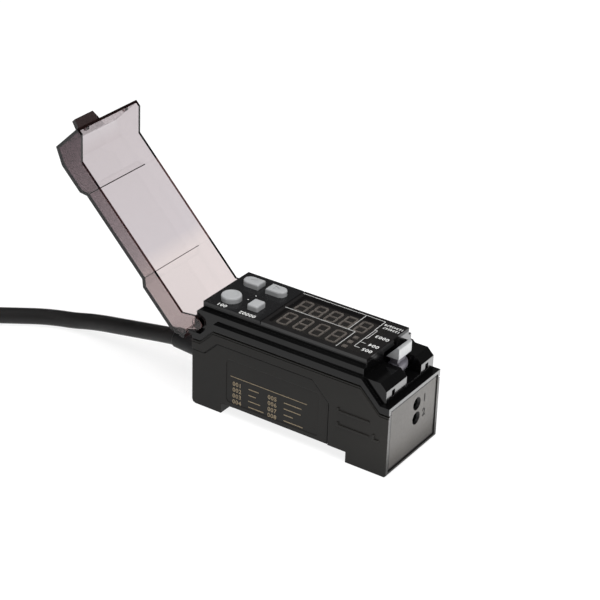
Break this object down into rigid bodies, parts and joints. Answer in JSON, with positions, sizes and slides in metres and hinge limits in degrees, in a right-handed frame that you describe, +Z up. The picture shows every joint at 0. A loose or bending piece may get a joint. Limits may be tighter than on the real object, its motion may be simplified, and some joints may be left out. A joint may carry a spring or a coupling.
{
  "type": "color sensor",
  "caption": "Slim black fibre-optic colour sensor amplifier with a hinged smoked cover, a two-row digit display, keys, a lock lever, fibre ports and a coiled cable.",
  "frame": {"origin": "centre of the recess face that sits on the mounting rail", "axes": "+X towards the fibre ports, +Y across the case, away from the label side, +Z up from the rail"},
  "size_m": [0.2509, 0.038, 0.0625],
  "materials": {
    "case_plastic": "satin",
    "top_plastic": "gloss",
    "panel_plastic": "gloss",
    "smoked_window": "gloss",
    "key_plastic": "matt",
    "switch_plastic": "matt",
    "display_face": "matt",
    "digit_segments": "matt",
    "circuit_board": "satin",
    "chip_plastic": "matt",
    "block_plastic": "matt",
    "lamp_plastic": "clear",
    "gate_steel": "plain",
    "cover_plastic": "clear smoked",
    "boot_rubber": "matt",
    "cable_jacket": "matt",
    "lead_jacket": "matt"
  },
  "bodies": {
    "housing": {"lower_case": "case_plastic", "upper_case": "top_plastic", "end_plate": "case_plastic", "key_panel": "panel_plastic", "display_window": "smoked_window", "key_switches": "switch_plastic", "display_module": "display_face", "display_digits": "digit_segments", "display_board": "circuit_board", "main_board": "circuit_board", "board_header": "switch_plastic", "board_components": "chip_plastic", "optics_board": "circuit_board", "fibre_block": "block_plastic", "emitter_led": "lamp_plastic", "colour_receiver": "chip_plastic", "lever_pin": "gate_steel", "strain_relief": "boot_rubber", "cable": "cable_jacket", "cable_coil": "cable_jacket", "cable_leads": "lead_jacket"},
    "cover": {"cover": "cover_plastic"},
    "lever": {"lock_lever": "key_plastic"},
    "gate": {"fibre_gate": "gate_steel"},
    "set_key": {"set_key": "key_plastic"},
    "mode_key": {"mode_key": "key_plastic"},
    "left_key": {"left_key": "key_plastic"},
    "right_key": {"right_key": "key_plastic"}
  },
  "joints": [
    {"name": "cover_hinge", "type": "hinge", "parent": "housing", "child": "cover", "pos_m": [-0.02505, 0, 0.0192], "axis": [0, 1, 0], "range_deg": [0, 134]},
    {"name": "lever_pivot", "type": "hinge", "parent": "housing", "child": "lever", "pos_m": [0.0227, 0.0016, 0.019], "axis": [0, -1, 0], "range_deg": [-90, 0]},
    {"name": "gate_slide", "type": "slide", "parent": "housing", "child": "gate", "axis": [0, 0, 1], "range_m": [0, 0.0002], "stiffness_N_per_m": 200},
    {"name": "set_key_push", "type": "slide", "parent": "housing", "child": "set_key", "axis": [0, 0, -1], "range_m": [0, 0.00035], "stiffness_N_per_m": 1500},
    {"name": "mode_key_push", "type": "slide", "parent": "housing", "child": "mode_key", "axis": [0, 0, -1], "range_m": [0, 0.00035], "stiffness_N_per_m": 1500},
    {"name": "left_key_push", "type": "slide", "parent": "housing", "child": "left_key", "axis": [0, 0, -1], "range_m": [0, 0.00035], "stiffness_N_per_m": 1500},
    {"name": "right_key_push", "type": "slide", "parent": "housing", "child": "right_key", "axis": [0, 0, -1], "range_m": [0, 0.00035], "stiffness_N_per_m": 1500}
  ]
}
